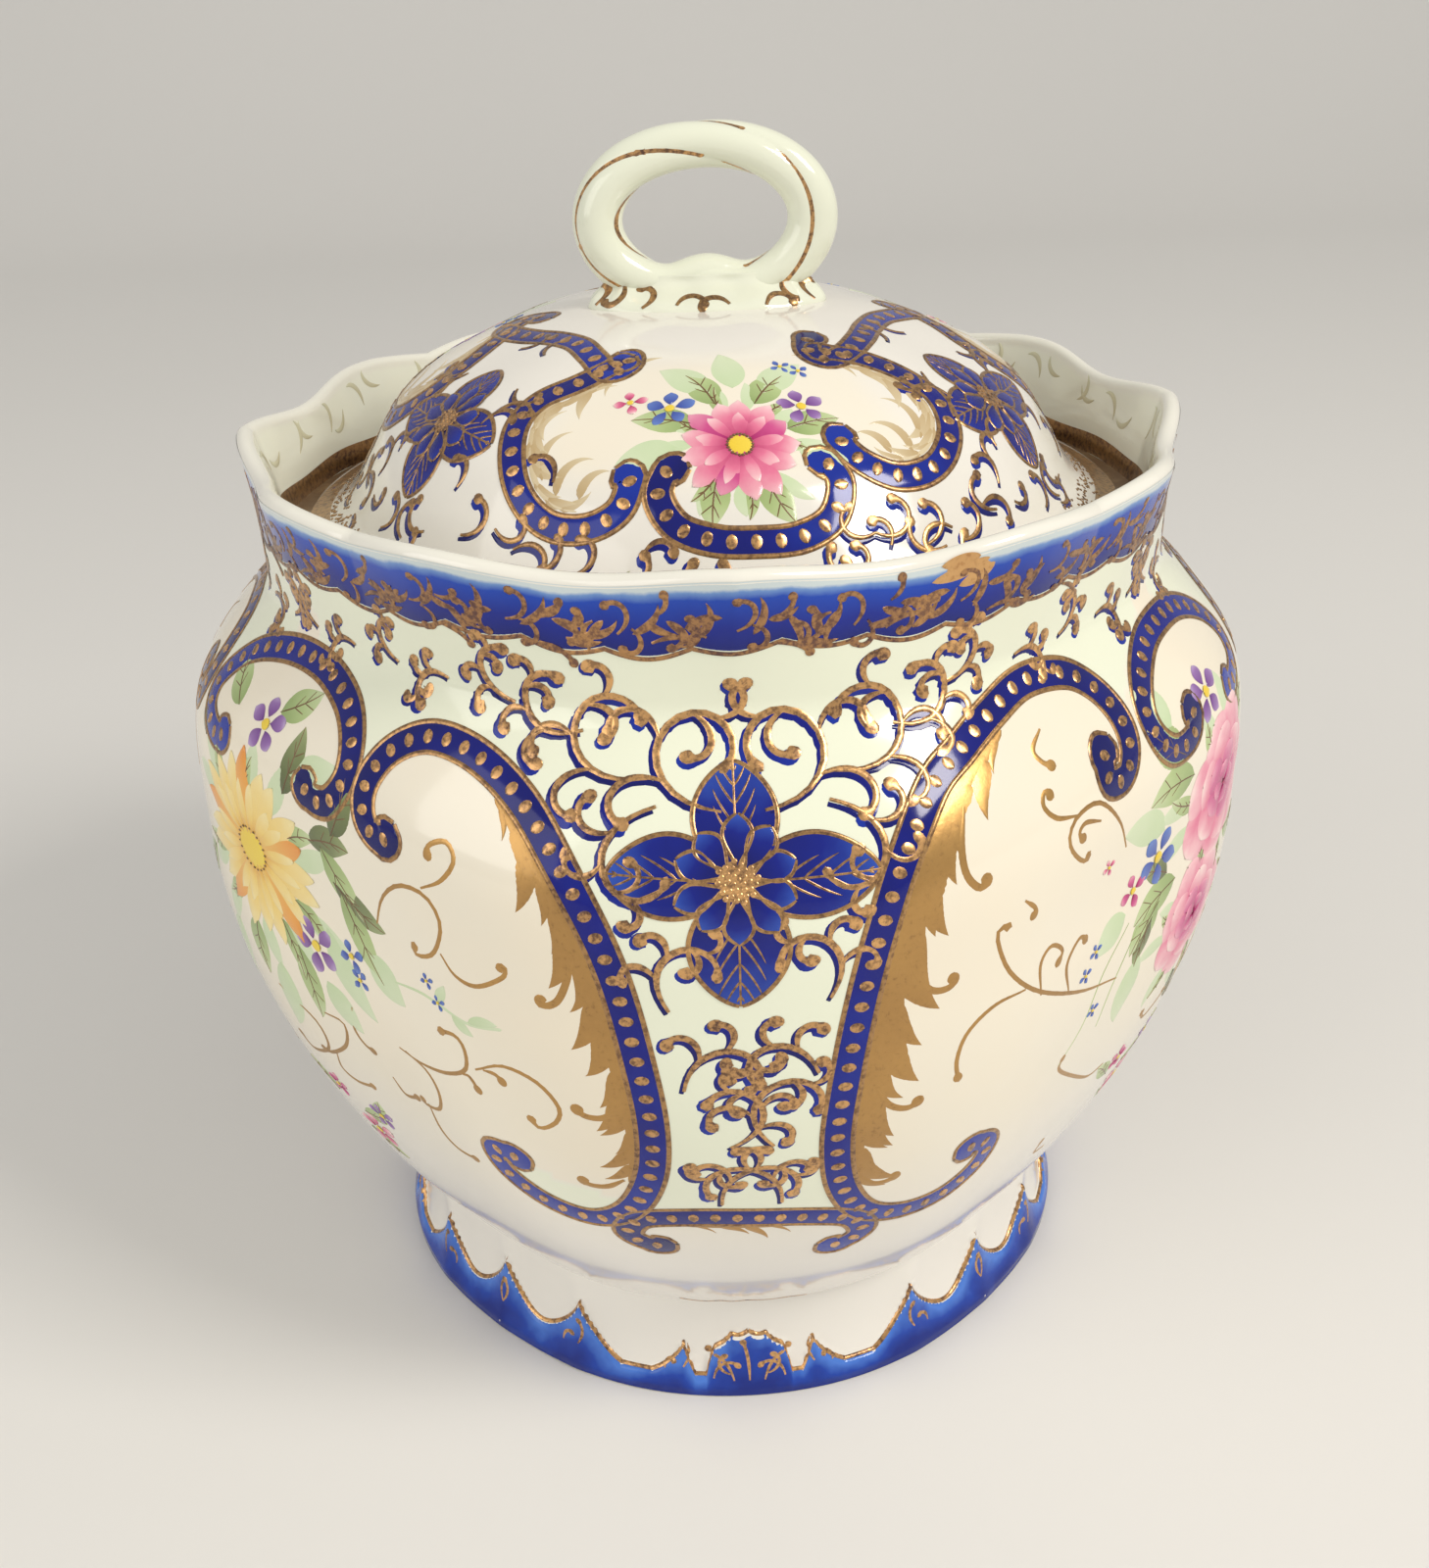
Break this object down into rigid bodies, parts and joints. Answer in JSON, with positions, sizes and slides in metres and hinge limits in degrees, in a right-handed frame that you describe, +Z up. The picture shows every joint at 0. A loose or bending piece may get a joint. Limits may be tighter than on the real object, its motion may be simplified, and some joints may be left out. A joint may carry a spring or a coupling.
{
  "type": "biscuit jar",
  "caption": "Lobed porcelain biscuit jar with a scalloped collar, a foot ring and a domed lift-off lid with a loop handle, painted in cobalt, gold and flowers.",
  "frame": {"origin": "on the table, at the middle of the foot ring", "axes": "+Z up the jar's middle; -Y out of the front lobe; the handle's loop lies across, along X"},
  "size_m": [0.1614, 0.1614, 0.1805],
  "materials": {
    "jar_glaze": "cream and pale celadon glaze, painted in cobalt, gold and enamel flowers",
    "collar_glaze": "cobalt glaze with gold scrolls outside, pale celadon inside",
    "seat_glaze": "glaze with a worn gold-brown band",
    "foot_glaze": "white glaze with a cobalt and gold scalloped edge",
    "lid_glaze": "cream glaze, painted in cobalt, gold and enamel flowers",
    "bare_glaze": "plain clear glaze",
    "loop_glaze": "pale celadon glaze with worn gilt strokes"
  },
  "bodies": {
    "jar": {"jar_bowl": "jar_glaze", "scalloped_collar": "collar_glaze", "lid_seat": "seat_glaze", "foot_ring": "foot_glaze"},
    "lid": {"lid_dome": "lid_glaze", "lid_locating_ring": "bare_glaze", "loop_handle": "loop_glaze", "handle_pad": "loop_glaze"}
  },
  "joints": [
    {"name": "lid_lift", "type": "slide", "parent": "jar", "child": "lid", "axis": [0, 0, 1], "range_m": [0, 0.045]}
  ]
}
